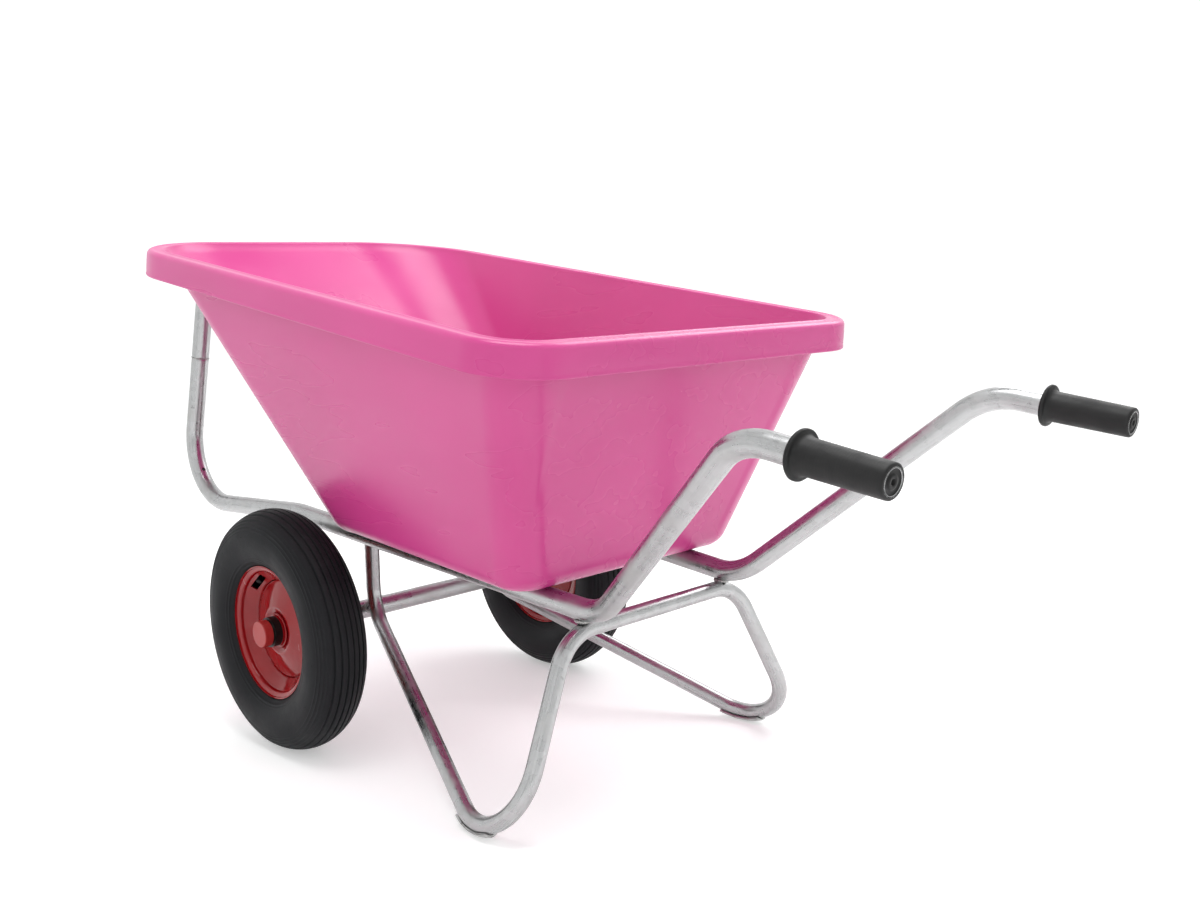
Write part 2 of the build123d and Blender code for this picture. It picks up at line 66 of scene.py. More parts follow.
def surface(name, grid, uv=None, closed=False, pole_first=False, pole_last=False):
    """A mesh from a grid of points, rows by columns, whose columns close on themselves.

    closed joins the last row to the first. A pole is one point at the middle of an end row.
    uv holds one pair for each point and one more column, for the seam.
    """
    rows, cols = grid.shape[:2]
    row = np.arange(rows if closed else rows - 1)[:, None]
    col = np.arange(cols)[None, :]
    below, right = (row + 1) % rows, (col + 1) % cols
    quads = np.stack(
        [row * cols + col, row * cols + right, below * cols + right, below * cols + col], -1
    ).reshape(-1, 4)
    vertices = grid.reshape(-1, 3)
    if uv is not None:
        corners = [uv[row, col], uv[row, col + 1], uv[row + 1, col + 1], uv[row + 1, col]]
        loops_uv = np.stack(np.broadcast_arrays(*corners), 2).reshape(-1, 2)
    for wanted, ring in ((pole_first, 0), (pole_last, rows - 1)):
        if not wanted:
            continue
        pole = len(vertices)
        vertices = np.vstack([vertices, grid[ring].mean(0)])
        edge = ring * cols + col.ravel()
        ahead = ring * cols + right.ravel()
        fan = np.stack([ahead, edge, edge * 0 + pole], 1)
        if ring:
            fan = fan[:, ::-1]
        fan = np.column_stack([fan, fan[:, 2]])
        quads = np.vstack([quads, fan])
        if uv is not None:
            loops_uv = np.vstack([loops_uv, np.repeat(uv[ring, :1], 3 * cols, 0)])
    if signed_volume(vertices, quads) < 0:
        quads = quads[:, [1, 0, 3, 2]]
        if uv is not None:
            whole = (rows if closed else rows - 1) * cols
            flipped = loops_uv[: 4 * whole].reshape(-1, 4, 2)[:, [1, 0, 3, 2]]
            loops_uv = np.vstack([flipped.reshape(-1, 2), loops_uv[4 * whole:]])
    faces = [tuple(dict.fromkeys(q)) for q in quads.tolist()]
    mesh = bpy.data.meshes.new(name)
    mesh.from_pydata(vertices.tolist(), [], faces)
    if uv is not None:
        layer = mesh.uv_layers.new(name="UVMap")
        layer.data.foreach_set("uv", loops_uv.astype(np.float32).ravel())
    mesh.shade_smooth()
    piece = bpy.data.objects.new(name, mesh)
    bpy.context.scene.collection.objects.link(piece)
    return piece


def unit(v):
    return v / np.linalg.norm(v, axis=-1, keepdims=True)


def arc_through(first, middle, last, count):
    """Points evenly along the circle through three points of a plane section."""
    a, b, c = (np.asarray(p, float) for p in (first, middle, last))
    lhs = 2 * np.array([b - a, c - a])
    centre = np.linalg.solve(lhs, [b @ b - a @ a, c @ c - a @ a])
    angles = np.unwrap([math.atan2(*(p - centre)[::-1]) for p in (a, b, c)])
    t = np.linspace(angles[0], angles[2], count)
    return centre + np.linalg.norm(a - centre) * np.column_stack([np.cos(t), np.sin(t)])


def bent_path(corners, radii, step=4.0):
    """Straight runs through the corners joined by tangent arcs, sampled about every step."""
    corners = np.asarray(corners, float)
    stretches = []
    start = corners[0]
    for before, corner, after, radius in zip(corners, corners[1:], corners[2:], radii):
        back, ahead = unit(before - corner), unit(after - corner)
        turn = math.pi - math.acos(back @ ahead)
        reach = radius * math.tan(turn / 2)
        first = corner + back * reach
        centre = corner + unit(back + ahead) * radius / math.cos(turn / 2)
        stretches.append(straight(start, first, step))
        t = np.linspace(0, turn, max(4, int(turn * radius / step)), endpoint=False)[:, None]
        out = (first - centre) / radius
        stretches.append(centre + radius * (np.cos(t) * out - np.sin(t) * back))
        start = corner + ahead * reach
    stretches.append(straight(start, corners[-1], step))
    return np.vstack(stretches + [corners[-1:]])


def straight(a, b, step):
    count = max(2, int(np.linalg.norm(b - a) / step))
    return a + (b - a) * np.linspace(0, 1, count, endpoint=False)[:, None]


def sweep(name, path, radius, across, sides=48, bore=0.0, bore_depth=45.0, swell=None):
    """A round tube: each point of the path plus a circle square to it.

    The circle's first direction is across, made square to the path. swell adds to the radius
    at each path point and angle. With a bore, the ends are open for bore_depth.
    """
    path = np.asarray(path, float)
    along = unit(np.gradient(path, axis=0))
    side = unit(across - (along @ across)[:, None] * along)
    up = np.cross(along, side)
    theta = np.linspace(0, 2 * math.pi, sides, endpoint=False)
    around = (side[:, None] * np.cos(theta)[None, :, None]
              + up[:, None] * np.sin(theta)[None, :, None])
    radii = np.full((len(path), sides), float(radius))
    if swell is not None:
        radii += swell(path, theta)
    length = np.concatenate([[0], np.cumsum(np.linalg.norm(np.diff(path, axis=0), axis=1))])
    rings = [path[:, None] + around * radii[..., None]]
    lengths = [length]
    if bore:
        for end, inward in ((-1, -1), (0, 1)):
            depth = np.array([0.0, 0.0, bore_depth])
            hole = np.array([radius - 0.5 * (radius - bore), bore, bore])
            mouth = path[end] + along[end] * inward * depth[:, None]
            ring = mouth[:, None] + around[end][None] * hole[:, None, None]
            part_length = length[end] + inward * depth
            if end == -1:
                rings.append(ring)
                lengths.append(part_length)
            else:
                rings.insert(0, ring[::-1])
                lengths.insert(0, part_length[::-1])
    grid = np.vstack(rings)
    length = np.concatenate(lengths)
    angle = np.linspace(0, 2 * math.pi, sides + 1) * radius
    uv = np.stack(np.broadcast_arrays(angle[None, :] * MM, length[:, None] * MM), -1)
    return surface(name, in_frame(grid), uv, pole_first=True, pole_last=True)


def lathe(name, profile, start, axis, sides=144, closed=True):
    """A section of (distance along the axis, distance from it) turned about the axis."""
    profile = np.asarray(profile, float)
    axis = unit(np.asarray(axis, float))
    helper = np.array([0.0, 0.0, 1.0]) if abs(axis[2]) < 0.9 else np.array([1.0, 0.0, 0.0])
    side = unit(np.cross(axis, helper))
    up = np.cross(axis, side)
    theta = np.linspace(0, 2 * math.pi, sides, endpoint=False)
    spoke = side * np.cos(theta)[:, None] + up * np.sin(theta)[:, None]
    grid = start + profile[:, None, :1] * axis + profile[:, None, 1:] * spoke[None]
    run = np.linalg.norm(np.diff(profile, axis=0, append=profile[:1]), axis=1)
    length = np.concatenate([[0], np.cumsum(run)])
    angle = np.linspace(0, 1, sides + 1)
    uv = np.stack(np.broadcast_arrays(angle[None, :], length[:, None] * MM), -1)
    ends = not closed
    return surface(name, in_frame(grid), uv, closed=closed, pole_first=ends, pole_last=ends)


# ---- materials ----------------------------------------------------------------


class Finish:
    """A material's node tree, with short calls for the nodes that the finishes share."""

    def __init__(self, name, **constants):
        self.material = bpy.data.materials.new(name)
        self.material.use_nodes = True
        self.tree = self.material.node_tree
        self.shader = self.tree.nodes["Principled BSDF"]
        for socket, value in constants.items():
            self.shader.inputs[socket.replace("_", " ")].default_value = value

    def node(self, kind, sockets=None, **settings):
        made = self.tree.nodes.new("ShaderNode" + kind)
        for key, value in settings.items():
            setattr(made, key, value)
        for key, value in (sockets or {}).items():
            if isinstance(value, bpy.types.NodeSocket):
                self.tree.links.new(value, made.inputs[key])
            else:
                made.inputs[key].default_value = value
        return made

    def place(self, uv=False, stretch=(1, 1, 1)):
        """Object coordinates, or the piece's own UV map, scaled along each axis."""
        source = self.node("TexCoord").outputs["UV" if uv else "Object"]
        return self.node("Mapping", {"Vector": source, "Scale": stretch}).outputs["Vector"]

    def noise(self, where, scale, detail=3.0, roughness=0.55):
        sockets = {"Vector": where, "Scale": scale, "Detail": detail, "Roughness": roughness}
        return self.node("TexNoise", sockets).outputs["Fac"]

    def ramp(self, value, low, high, to_low=0.0, to_high=1.0):
        """Value taken from the range low to high into the range to_low to to_high."""
        sockets = {"Value": value, "From Min": low, "From Max": high,
                   "To Min": to_low, "To Max": to_high}
        return self.node("MapRange", sockets, interpolation_type="SMOOTHSTEP").outputs["Result"]

    def mix(self, share, a, b):
        made = self.node("Mix", data_type="RGBA")
        for socket, value in ((made.inputs[0], share), (made.inputs[6], a), (made.inputs[7], b)):
            if isinstance(value, bpy.types.NodeSocket):
                self.tree.links.new(value, socket)
            else:
                socket.default_value = value
        return made.outputs[2]

    def math(self, operation, a, b=0.0):
        made = self.node("Math", operation=operation)
        for socket, value in zip(made.inputs, (a, b)):
            if isinstance(value, bpy.types.NodeSocket):
                self.tree.links.new(value, socket)
            else:
                socket.default_value = value
        return made.outputs[0]

    def bump(self, height, distance, strength=1.0, below=None):
        sockets = {"Height": height, "Distance": distance, "Strength": strength}
        if below is not None:
            sockets["Normal"] = below
        return self.node("Bump", sockets).outputs["Normal"]

    def connect(self, **outputs):
        for socket, value in outputs.items():
            self.tree.links.new(value, self.shader.inputs[socket.replace("_", " ")])
        return self.material


def moulded_pink():
    """Satin polyethylene: mottled pink, fine mould grain and faint scuffs."""
    f = Finish("pink_polyethylene", IOR=1.5, Coat_Weight=0.0)
    where = f.place()
    cloud = f.ramp(f.noise(where, 2.2, 2.0), 0.3, 0.7)
    base = f.mix(cloud, (0.50, 0.042, 0.208, 1), (0.56, 0.052, 0.240, 1))
    dust = f.ramp(f.noise(where, 3.1, 2.0, 0.5), 0.45, 0.80, 0.0, 0.08)
    base = f.mix(dust, base, (0.66, 0.22, 0.40, 1))
    scuffs = f.noise(f.place(stretch=(9, 2, 12)), 2.0, 2.0, 0.5)
    rough = f.math("ADD", f.ramp(cloud, 0, 1, 0.25, 0.31), f.ramp(scuffs, 0.35, 0.75, 0.0, 0.05))
    grain = f.bump(f.noise(where, 90.0, 1.0), 0.00012, 0.1)
    wave = f.bump(f.noise(where, 4.0, 0.0), 0.002, 0.3, grain)
    return f.connect(Base_Color=base, Roughness=rough, Normal=wave)


def galvanised(name, uv=True):
    """Zinc-coated tube: drawn streaks along it, crystal spangle, dull patches and stains."""
    f = Finish(name, Metallic=1.0)
    where = f.place()
    drawn = f.noise(f.place(uv, (260, 6, 1) if uv else (90, 5, 90)), 1.0, 3.0, 0.6)
    spangle = f.node("TexVoronoi", {"Vector": where, "Scale": 85.0, "Randomness": 1.0})
    crystal = f.node("SeparateColor", {"Color": spangle.outputs["Color"]}).outputs["Red"]
    patch = f.ramp(f.noise(where, 14.0, 4.0, 0.62), 0.5, 0.72)
    stain = f.ramp(f.noise(where, 42.0, 3.0, 0.7), 0.66, 0.78, 0.0, 0.7)
    base = f.mix(drawn, (0.30, 0.305, 0.31, 1), (0.50, 0.505, 0.505, 1))
    base = f.mix(f.math("MULTIPLY", crystal, 0.25), base, (0.62, 0.625, 0.63, 1))
    base = f.mix(f.math("MULTIPLY", patch, 0.55), base, (0.46, 0.46, 0.45, 1))
    base = f.mix(stain, base, (0.20, 0.195, 0.19, 1))
    rough = f.math("ADD", f.ramp(drawn, 0.3, 0.7, 0.2, 0.32), f.math("MULTIPLY", patch, 0.22))
    rough = f.math("ADD", rough, f.math("MULTIPLY", crystal, 0.07))
    streaks = f.bump(drawn, 0.0003, 0.25)
    drips = f.bump(f.noise(where, 55.0, 2.0), 0.0006, 0.3, streaks)
    return f.connect(Base_Color=base, Roughness=rough, Normal=drips)


def weld_metal():
    """Galvanised over weld: dull, pitted and darker in the hollows."""
    f = Finish("galvanised_weld", Metallic=1.0)
    where = f.place()
    pits = f.noise(where, 260.0, 3.0, 0.7)
    base = f.mix(pits, (0.22, 0.22, 0.215, 1), (0.48, 0.48, 0.47, 1))
    rough = f.ramp(pits, 0.3, 0.7, 0.55, 0.35)
    return f.connect(Base_Color=base, Roughness=rough, Normal=f.bump(pits, 0.0008, 0.6))


def worn_steel():
    """Pressed steel shoe: scraped bright along the barrow, with earth in the dents."""
    f = Finish("scuffed_shoe_steel", Metallic=1.0)
    where = f.place()
    scrape = f.noise(f.place(stretch=(160, 14, 160)), 1.0, 4.0, 0.7)
    dirt = f.ramp(f.noise(where, 45.0, 4.0, 0.7), 0.5, 0.68)
    base = f.mix(scrape, (0.30, 0.30, 0.30, 1), (0.62, 0.62, 0.61, 1))
    base = f.mix(dirt, base, (0.10, 0.088, 0.075, 1))
    metal = f.ramp(dirt, 0, 1, 1.0, 0.3)
    rough = f.ramp(dirt, 0, 1, 0.34, 0.75)
    return f.connect(Base_Color=base, Metallic=metal, Roughness=rough,
                     Normal=f.bump(scrape, 0.0006, 0.5))


def zinc_plate(name, colour):
    """Bright plated steel with a faint cloudy film."""
    f = Finish(name, Metallic=1.0)
    where = f.place()
    film = f.noise(where, 120.0, 3.0, 0.6)
    base = f.mix(film, (*[c * 0.8 for c in colour], 1), (*colour, 1))
    rough = f.ramp(film, 0.3, 0.7, 0.22, 0.42)
    return f.connect(Base_Color=base, Roughness=rough, Normal=f.bump(film, 0.0003, 0.3))


def tyre_rubber():
    """Black rubber: brown-grey bloom on the flanks, fine skin and rubbed ribs."""
    f = Finish("ribbed_tyre_rubber", IOR=1.5, Specular_IOR_Level=0.16)
    where = f.place()
    bloom = f.ramp(f.noise(where, 7.0, 4.0, 0.6), 0.35, 0.7)
    fine = f.noise(where, 240.0, 3.0, 0.65)
    base = f.mix(bloom, (0.0055, 0.006, 0.0075, 1), (0.011, 0.0115, 0.013, 1))
    dust = f.ramp(f.noise(where, 95.0, 4.0, 0.75), 0.60, 0.80, 0.0, 0.5)
    base = f.mix(dust, base, (0.026, 0.026, 0.026, 1))
    rough = f.ramp(f.math("ADD", bloom, f.math("MULTIPLY", fine, 0.5)), 0.2, 1.2, 0.48, 0.66)
    return f.connect(Base_Color=base, Roughness=rough, Normal=f.bump(fine, 0.0005, 0.35))


def black_moulding(name, shade, rough_low, rough_high, grain):
    """Plain black rubber or nylon with a cast skin."""
    f = Finish(name, IOR=1.5, Specular_IOR_Level=0.3)
    where = f.place()
    cloud = f.noise(where, 30.0, 3.0, 0.6)
    fine = f.noise(where, grain, 2.0, 0.6)
    dark = (shade * 0.7, shade * 0.7, shade * 0.72, 1)
    base = f.mix(cloud, dark, (shade * 1.3, shade * 1.3, shade * 1.33, 1))
    rough = f.ramp(cloud, 0.3, 0.7, rough_low, rough_high)
    return f.connect(Base_Color=base, Roughness=rough, Normal=f.bump(fine, 0.0003, 0.5))


def red_enamel():
    """Glossy dark red paint: slight orange peel, specks of dust and pale scratches."""
    f = Finish("dark_red_enamel", IOR=1.5, Specular_IOR_Level=0.45)
    where = f.place()
    depth = f.noise(where, 11.0, 3.0, 0.6)
    base = f.mix(depth, (0.20, 0.0012, 0.003, 1), (0.29, 0.003, 0.006, 1))
    grit = f.node("TexVoronoi", {"Vector": where, "Scale": 60.0, "Randomness": 1.0})
    speck = f.ramp(grit.outputs["Distance"], 0.035, 0.075, 1.0, 0.0)
    zone = f.ramp(f.noise(where, 16.0, 2.0), 0.5, 0.64)
    scratch = f.ramp(f.noise(f.place(stretch=(30, 420, 18)), 1.0, 1.0), 0.735, 0.76)
    mark = f.math("MAXIMUM", f.math("MULTIPLY", speck, zone), f.math("MULTIPLY", scratch, zone))
    base = f.mix(f.math("MULTIPLY", mark, 0.8), base, (0.72, 0.55, 0.54, 1))
    rough = f.ramp(mark, 0, 1, 0.11, 0.6)
    peel = f.bump(f.noise(where, 180.0, 2.0), 0.0002, 0.18)
    return f.connect(Base_Color=base, Roughness=rough, Normal=peel)


def red_plastic():
    """Moulded red cap: satin, with a lighter rubbed film."""
    f = Finish("red_cap_plastic", IOR=1.48)
    where = f.place()
    film = f.noise(where, 60.0, 4.0, 0.65)
    base = f.mix(film, (0.27, 0.010, 0.011, 1), (0.37, 0.028, 0.026, 1))
    rough = f.ramp(film, 0.3, 0.7, 0.3, 0.45)
    return f.connect(Base_Color=base, Roughness=rough, Normal=f.bump(film, 0.0002, 0.3))


def painted_hole_shade():
    """Painted shade: a near-black finish standing for the shaded inside of a small drilled hole."""
    f = Finish("drilled_hole_painted_shade")
    # painted shade: a faint mottle in the near-black of the hole's shaded inside
    hole_shade_mottle = f.noise(f.place(), 400.0, 2.0)
    base = f.mix(hole_shade_mottle, (0.004, 0.004, 0.004, 1), (0.012, 0.011, 0.011, 1))
    return f.connect(Base_Color=base, Roughness=f.ramp(hole_shade_mottle, 0.3, 0.7, 0.7, 0.9))


PINK = moulded_pink()
TUBE_ZINC = galvanised("galvanised_drawn_tube")
SOLID_ZINC = galvanised("galvanised_bar", uv=False)
WELD = weld_metal()
SHOE = worn_steel()
PLATED = zinc_plate("bright_zinc_plate", (0.70, 0.70, 0.66))
TURNED = zinc_plate("turned_axle_steel", (0.56, 0.56, 0.57))
TYRE = tyre_rubber()
GRIP = black_moulding("grip_rubber", 0.0085, 0.45, 0.62, 700.0)
NYLON = black_moulding("bush_nylon", 0.004, 0.35, 0.5, 500.0)
STEM = black_moulding("valve_rubber", 0.004, 0.4, 0.6, 600.0)
ENAMEL = red_enamel()
CAP = red_plastic()
# painted shade: the dark finish of the discs that stand for the vent holes
HOLE_SHADE = painted_hole_shade()

FINISHES = {
    "tray_plastic": PINK, "galvanised_tube": SOLID_ZINC, "skid_steel": SHOE,
    "zinc_fastener": PLATED, "axle_steel": TURNED, "grip_rubber": GRIP, "tyre_rubber": TYRE,
    "tube_rubber": STEM, "rim_red": ENAMEL, "cap_red": CAP, "bush_nylon": NYLON,
    "valve_rubber": STEM, "valve_cap_plastic": NYLON,
}


def paint_cad_nodes():
    """Each CAD node takes the finish of its own slot in the record."""
    for row in frame["record"]["subparts"]:
        node = frame["nodes"][row["node"]]
        node.data.materials.clear()
        node.data.materials.append(FINISHES[row["material_slot"]])


paint_cad_nodes()


def fit(piece, material, slot, body, *stands_for):
    """Gives a new piece its material and its body, and hides the nodes it stands for. The slot argument is not
    used.
    """
    piece.data.materials.append(material)
    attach(piece, body)
    if stands_for:
        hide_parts(*stands_for)
    return piece


# ---- tray -----------------------------------------------------------------------

WALL = 5.0
FLOOR_FRONT, FLOOR_REAR = -49.0, -523.0
FLOOR_HALVES, FLOOR_CORNERS = (236.0, 228.0), (66.0, 55.0)
FLOOR_ROUND = 38.0
RIM_FRONT, RIM_REAR = 443.6, -695.8
RIM_HALVES, RIM_CORNERS = (345.4, 370.9), (200.0, 95.0)
RIM_TOP_FRONT, RIM_TOP_REAR = 850.0, 678.3
RIM_WIDTH = 28.0
RAIL_R = 16.0
LOW_BEND = (147.0, -604.0, 298.0)
FLOOR_END_BEND = (182.0, 122.0, 364.5)
LINE_POINTS, ARC_POINTS = 72, 22
# How far the walls crown outward, and the rear wall's shallow panel with its soft edge.
WALL_CROWN = 2.5
PANEL_HALF, PANEL_SPREAD, PANEL_EDGE, PANEL_DEPTH = 232.0, 10.0, 9.0, 1.3


def outline(halves, length, corners, inset):
    """A trapezium with round corners, in its own plane, moved in by inset.

    Each side has LINE_POINTS points and each corner ARC_POINTS, so any two outlines match.
    """
    front, rear = halves[0] - inset, halves[1] - inset
    near, far = inset, length - inset
    c = np.array([(-rear, near), (rear, near), (front, far), (-front, far)])
    radius = np.array([corners[1], corners[1], corners[0], corners[0]])[:, None] - inset
    back, ahead = unit(np.roll(c, 1, 0) - c), unit(np.roll(c, -1, 0) - c)
    half = np.arccos((back * ahead).sum(1, keepdims=True)) / 2
    enter, leave = c + back * radius / np.tan(half), c + ahead * radius / np.tan(half)
    centre = c + unit(back + ahead) * radius / np.sin(half)
    turn = (math.pi - 2 * half)[:, None]
    t = np.linspace(0, 1, ARC_POINTS, endpoint=False)[None, :, None] * turn
    out = ((enter - centre) / radius)[:, None]
    arcs = centre[:, None] + radius[:, None] * (np.cos(t) * out - np.sin(t) * back[:, None])
    s = np.linspace(0, 1, LINE_POINTS, endpoint=False)[None, :, None]
    lines = leave[:, None] + (np.roll(enter, -1, 0) - leave)[:, None] * s
    return np.concatenate([arcs, lines], 1).reshape(-1, 2)


def sloping(rear, front):
    """Origin, forward direction, upward direction and length of a plane through two points."""
    run = np.array([0.0, front[0] - rear[0], front[1] - rear[1]])
    ahead = unit(run)
    return np.array([0.0, *rear]), ahead, np.cross([1.0, 0.0, 0.0], ahead), np.linalg.norm(run)


def floor_height(y):
    """Underside of the floor, lying on the two rails."""
    rise = (FLOOR_END_BEND[2] - LOW_BEND[2]) / (FLOOR_END_BEND[1] - LOW_BEND[1])
    return LOW_BEND[2] + rise * (y - LOW_BEND[1]) + (RAIL_R + 0.2) * math.hypot(1, rise)


FLOOR_PLANE = sloping((FLOOR_REAR, floor_height(FLOOR_REAR)),
                      (FLOOR_FRONT, floor_height(FLOOR_FRONT)))
RIM_PLANE = sloping((RIM_REAR, RIM_TOP_REAR), (RIM_FRONT, RIM_TOP_FRONT))


def on_plane(plane, flat, lift):
    origin, ahead, up, _ = plane
    return origin + flat[:, :1] * (1.0, 0.0, 0.0) + flat[:, 1:] * ahead + lift * up


def floor_line(inset, lift):
    flat = outline(FLOOR_HALVES, FLOOR_PLANE[3], FLOOR_CORNERS, inset)
    return on_plane(FLOOR_PLANE, flat, lift)


def rim_line(inset, lift):
    flat = outline(RIM_HALVES, RIM_PLANE[3], RIM_CORNERS, inset)
    return on_plane(RIM_PLANE, flat, lift)


def rounded_foot(inset, lift, top, radius, count=9):
    """The arc that joins the floor to the wall, tangent to both.

    It starts and ends at the radius over the tangent of half their angle from the corner.
    """
    corner = floor_line(inset, lift)
    inward = unit(floor_line(inset + 10, lift) - corner)
    upward = unit(top - corner)
    half = np.arccos((inward * upward).sum(1, keepdims=True)) / 2
    centre = corner + unit(inward + upward) * radius / np.sin(half)
    first = unit(corner + inward * radius / np.tan(half) - centre)
    turn = math.pi - 2 * half
    t = np.linspace(0, 1, count)[:, None, None] * turn
    return centre + radius * (np.cos(t) * first - np.sin(t) * inward)


def wall_shape(points):
    """How far each wall point stands out: a crown between corners, and a shallow rear panel."""
    columns = np.arange(points.shape[1]) % (LINE_POINTS + ARC_POINTS) - ARC_POINTS
    side = np.arange(points.shape[1]) // (LINE_POINTS + ARC_POINTS)
    crown = np.where(columns >= 0, np.sin(math.pi * columns / LINE_POINTS), 0.0)
    height = np.linspace(0.0, 1.0, points.shape[0])[:, None]
    rise = np.sin(math.pi * height)
    x = np.abs(points[..., 0])
    edge = PANEL_HALF + PANEL_SPREAD * height
    panel = np.clip((edge - x) / PANEL_EDGE + 0.5, 0, 1)
    panel = panel * panel * (3 - 2 * panel) * (side == 0) * np.clip(rise * 5, 0, 1)
    return WALL_CROWN * crown * rise - PANEL_DEPTH * panel


def tray_wall(foot, top, count):
    """Straight lines from the foot to the top, pushed out by wall_shape."""
    s = np.linspace(0, 1, count)[:, None, None]
    points = foot + (top - foot) * s
    outward = -unit(rim_line(20, 0) - rim_line(10, 0))
    return points + outward * wall_shape(points)[..., None]


def tray():
    """One closed surface: inside of the floor, inner wall, rim, skirt, outer wall, underside."""
    inner_top = rim_line(RIM_WIDTH + WALL, -3.0)
    outer_top = rim_line(RIM_WIDTH, 0.0)
    inner_foot = rounded_foot(WALL, WALL, inner_top, FLOOR_ROUND - WALL)
    outer_foot = rounded_foot(0.0, 0.0, outer_top, FLOOR_ROUND)
    down = unit(floor_line(0, 0) - outer_top)
    drop = 9.0 / -(down @ RIM_PLANE[2])[:, None]
    outer_start = outer_top + down * drop
    inner_rows = tray_wall(inner_foot[-1], inner_top, 30)
    outer_rows = tray_wall(outer_foot[-1], outer_start, 30)[::-1]
    shoulder = np.linspace(0, math.pi / 2, 8)
    section = [(32.7, -1.4), (31.8, -0.4), (30.3, 0.0), (28.6, -0.1), (27.2, -0.8), (25.5, -1.2)]
    section += [(19.0, -1.3), (14.5, -0.9), (12.8, -0.2)]
    section += [(12 - 9 * math.sin(a), -9 + 9 * math.cos(a)) for a in shoulder]
    section += [(2.6, -15.0), (2.2, -22.0), (1.8, -29.0), (1.6, -36.0), (1.6, -39.0), (1.3, -40.2)]
    section += [(0.85, -41.2), (0.8, -43.0), (1.3, -44.0), (2.6, -44.0), (4.4, -44.0), (5.0, -43.2)]
    section += [(5.4, -39.0), (7.0, -16.0), (7.8, -9.0), (9.2, -6.4), (11.5, -5.4), (17.0, -5.2)]
    section += [(23.5, -5.4)]
    rim = np.stack([rim_line(inset, lift) for inset, lift in section])
    shrink = np.array([0.06, 0.3, 0.6, 0.85, 0.97])[:, None, None]

    def towards_middle(ring):
        middle = ring.mean(0)
        return middle + (ring - middle) * shrink

    rows = [towards_middle(inner_foot[0]), inner_foot[:-1], inner_rows, rim,
            outer_rows, outer_foot[:-1][::-1], towards_middle(outer_foot[0])[::-1]]
    grid = in_frame(np.concatenate(rows))
    return surface("pink_tray", grid, pole_first=True, pole_last=True)


fit(tray(), PINK, "tray_plastic", "frame", "tray")

# ---- frame tubes ------------------------------------------------------------------

TUBE_BORE = 14.0
GRIP_END = (275.5, -1143.5, 553.5)
UPPER_BEND = (269.0, -949.0, 583.5)
FRONT_BEND = (198.0, 515.0, 348.0)
HOOP_CORNER = (169.0, 419.0, 824.0)
HOOP_SEAM_Z = 629.0
RAIL_RADII = (98.0, 92.0, 320.0, 115.0)
HOOP_RADIUS = 60.0
LEG_R, LEG_BORE = 12.5, 10.5
# The leg tube's top, its bend over the axle, its foot, and its cross piece.
LEG_CORNERS = [(149.5, -52.5, 346.0), (129.0, -17.0, 201.0),
               (334.0, -599.0, -36.33), (179.0, -567.5, 272.5)]
LEG_RADII = (56.0, 90.0, 80.0)
SIDES = {"left": -1.0, "right": 1.0}
ACROSS = np.array([1.0, 0.0, 0.0])
AHEAD = np.array([0.0, 1.0, 0.0])


def other_side(points, sign):
    return np.asarray(points, float) * (sign, 1.0, 1.0)


def seam_point():
    low, high = np.array(FRONT_BEND), np.array(HOOP_CORNER)
    return low + (high - low) * (HOOP_SEAM_Z - low[2]) / (high[2] - low[2])


def rail_path():
    corners = [GRIP_END, UPPER_BEND, LOW_BEND, FLOOR_END_BEND, FRONT_BEND, seam_point()]
    return bent_path(corners, RAIL_RADII)


def drawn_unevenness(path, theta):
    """Slow shallow waves along and round a drawn tube, under a tenth of a millimetre."""
    length = np.arange(len(path))[:, None] * 0.21
    return 0.05 * np.sin(length + 2 * theta) + 0.04 * np.sin(0.37 * length - theta) - 0.09


def leg_path():
    whole = LEG_CORNERS + [(-x, y, z) for x, y, z in reversed(LEG_CORNERS)]
    return bent_path(whole, LEG_RADII + LEG_RADII[::-1])


for side_name, sign in SIDES.items():
    rail = sweep(f"{side_name}_drawn_rail", other_side(rail_path(), sign), RAIL_R, ACROSS,
                 bore=TUBE_BORE, swell=drawn_unevenness)
    fit(rail, TUBE_ZINC, "galvanised_tube", "frame", f"{side_name}_rail")

half_hoop = [seam_point(), HOOP_CORNER]
hoop_corners = half_hoop + [other_side(corner, -1) for corner in reversed(half_hoop)]
hoop = sweep("bent_front_hoop", bent_path(hoop_corners, (HOOP_RADIUS,) * 2), RAIL_R, AHEAD,
             bore=TUBE_BORE, swell=drawn_unevenness)
fit(hoop, TUBE_ZINC, "galvanised_tube", "frame", "front_hoop")
leg = sweep("looped_leg_tube", leg_path(), LEG_R, AHEAD, bore=LEG_BORE, swell=drawn_unevenness)
fit(leg, TUBE_ZINC, "galvanised_tube", "frame", "leg_tube")
AXLE_HALF, AXLE_TUBE_R, AXLE_BORE = 245.0, 16.0, 10.2
left_end, right_end = (np.array([x, 0, AXLE_Z / MM]) for x in (-AXLE_HALF, AXLE_HALF))
axle_path = np.vstack([straight(left_end, right_end, 5.0), right_end])
axle = sweep("cross_axle_tube", axle_path, AXLE_TUBE_R, AHEAD, bore=AXLE_BORE, bore_depth=1.0,
             swell=drawn_unevenness)
fit(axle, TUBE_ZINC, "galvanised_tube", "frame", "axle_tube")

# ---- tyres ---------------------------------------------------------------------------

BEAD_OUTSIDE = [(17.0, 103.2), (23.6, 103.2), (25.0, 110.9), (31.5, 112.2)]
WIDEST, SHOULDER, CROWN_R = (47.0, 153.0), (31.0, 190.5), 200.0
GROOVES = np.array([-26.0, -15.5, -5.2, 5.2, 15.5, 26.0])


